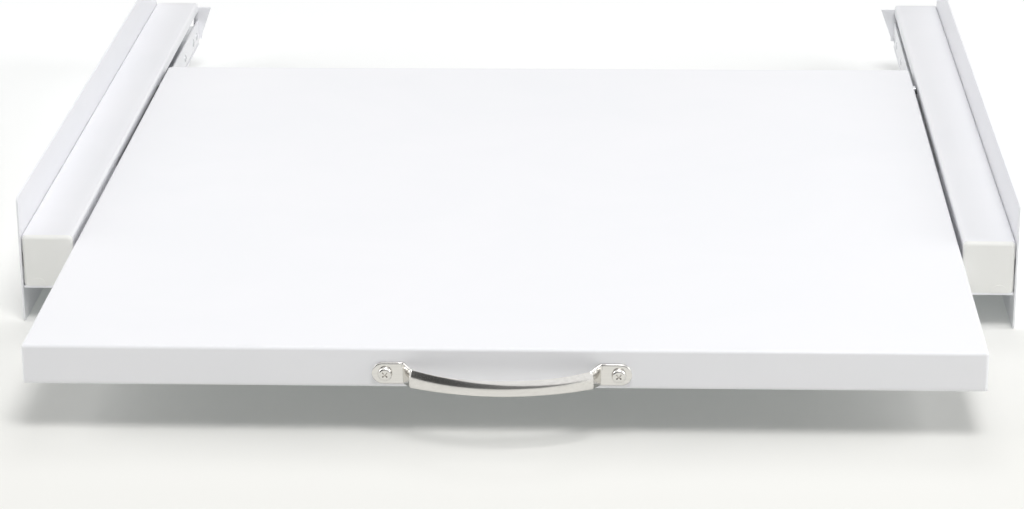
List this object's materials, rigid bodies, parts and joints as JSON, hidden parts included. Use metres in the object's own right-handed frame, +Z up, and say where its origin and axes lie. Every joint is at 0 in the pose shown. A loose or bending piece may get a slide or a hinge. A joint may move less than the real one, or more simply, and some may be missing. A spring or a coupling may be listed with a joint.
{
  "type": "stacking kit with pull-out shelf",
  "caption": "White steel stacking frame for a dryer on a washing machine: side rails with upstands and skirts, a pull-out shelf on roller slides and a bow handle.",
  "frame": {"origin": "middle of the footprint, with the shelf drawn out as in the picture, on the level of the side plates' feet", "axes": "+X to the right seen from the front, +Y from the handle to the rear, +Z up"},
  "size_m": [0.6016, 0.7384, 0.0795],
  "materials": {
    "white_steel": "semi-gloss white powder coat",
    "cap_plastic": "matte off-white moulding",
    "zinc_steel": "bright zinc plating",
    "nylon": "natural white nylon",
    "nickel_steel": "brushed nickel plating"
  },
  "bodies": {
    "frame": {"left_side_plate": "white_steel", "left_rail": "white_steel", "left_front_cap": "cap_plastic", "left_slide_carrier": "white_steel", "left_fixed_runner": "zinc_steel", "left_rear_stop": "white_steel", "left_front_axle": "zinc_steel", "right_side_plate": "white_steel", "right_rail": "white_steel", "right_front_cap": "cap_plastic", "right_slide_carrier": "white_steel", "right_fixed_runner": "zinc_steel", "right_rear_stop": "white_steel", "right_front_axle": "zinc_steel", "front_tie_bar": "white_steel", "rear_tie_bar": "white_steel", "plate_rivets": "zinc_steel", "runner_rivets": "zinc_steel", "tie_rivets": "zinc_steel", "stop_rivets": "zinc_steel"},
    "shelf": {"shelf_panel": "white_steel", "shelf_stiffener": "white_steel", "left_shelf_runner": "zinc_steel", "right_shelf_runner": "zinc_steel", "left_rear_axle": "zinc_steel", "right_rear_axle": "zinc_steel", "shelf_rivets": "zinc_steel", "handle_bow": "nickel_steel", "handle_screws": "nickel_steel", "handle_nuts": "zinc_steel"},
    "left_front_wheel": {"left_front_roller": "nylon"},
    "left_rear_wheel": {"left_rear_roller": "nylon"},
    "right_front_wheel": {"right_front_roller": "nylon"},
    "right_rear_wheel": {"right_rear_roller": "nylon"}
  },
  "joints": [
    {"name": "shelf_slide", "type": "slide", "parent": "frame", "child": "shelf", "axis": [0, -1, 0], "range_m": [-0.166, 0.184]},
    {"name": "left_front_roller_spin", "type": "hinge", "parent": "frame", "child": "left_front_wheel", "pos_m": [-0.25755, -0.15365, 0.03485], "axis": [1, 0, 0], "continuous": true},
    {"name": "left_rear_roller_spin", "type": "hinge", "parent": "shelf", "child": "left_rear_wheel", "pos_m": [-0.27395, 0.17715, 0.0447], "axis": [1, 0, 0], "continuous": true},
    {"name": "right_front_roller_spin", "type": "hinge", "parent": "frame", "child": "right_front_wheel", "pos_m": [0.25755, -0.15365, 0.03485], "axis": [1, 0, 0], "continuous": true},
    {"name": "right_rear_roller_spin", "type": "hinge", "parent": "shelf", "child": "right_rear_wheel", "pos_m": [0.27395, 0.17715, 0.0447], "axis": [1, 0, 0], "continuous": true}
  ],
  "couplings": [
    {"joint": "left_front_roller_spin", "follows": "shelf_slide", "rad_per_m": 125},
    {"joint": "left_rear_roller_spin", "follows": "shelf_slide", "rad_per_m": 166.67},
    {"joint": "right_front_roller_spin", "follows": "shelf_slide", "rad_per_m": 125},
    {"joint": "right_rear_roller_spin", "follows": "shelf_slide", "rad_per_m": 166.67}
  ]
}
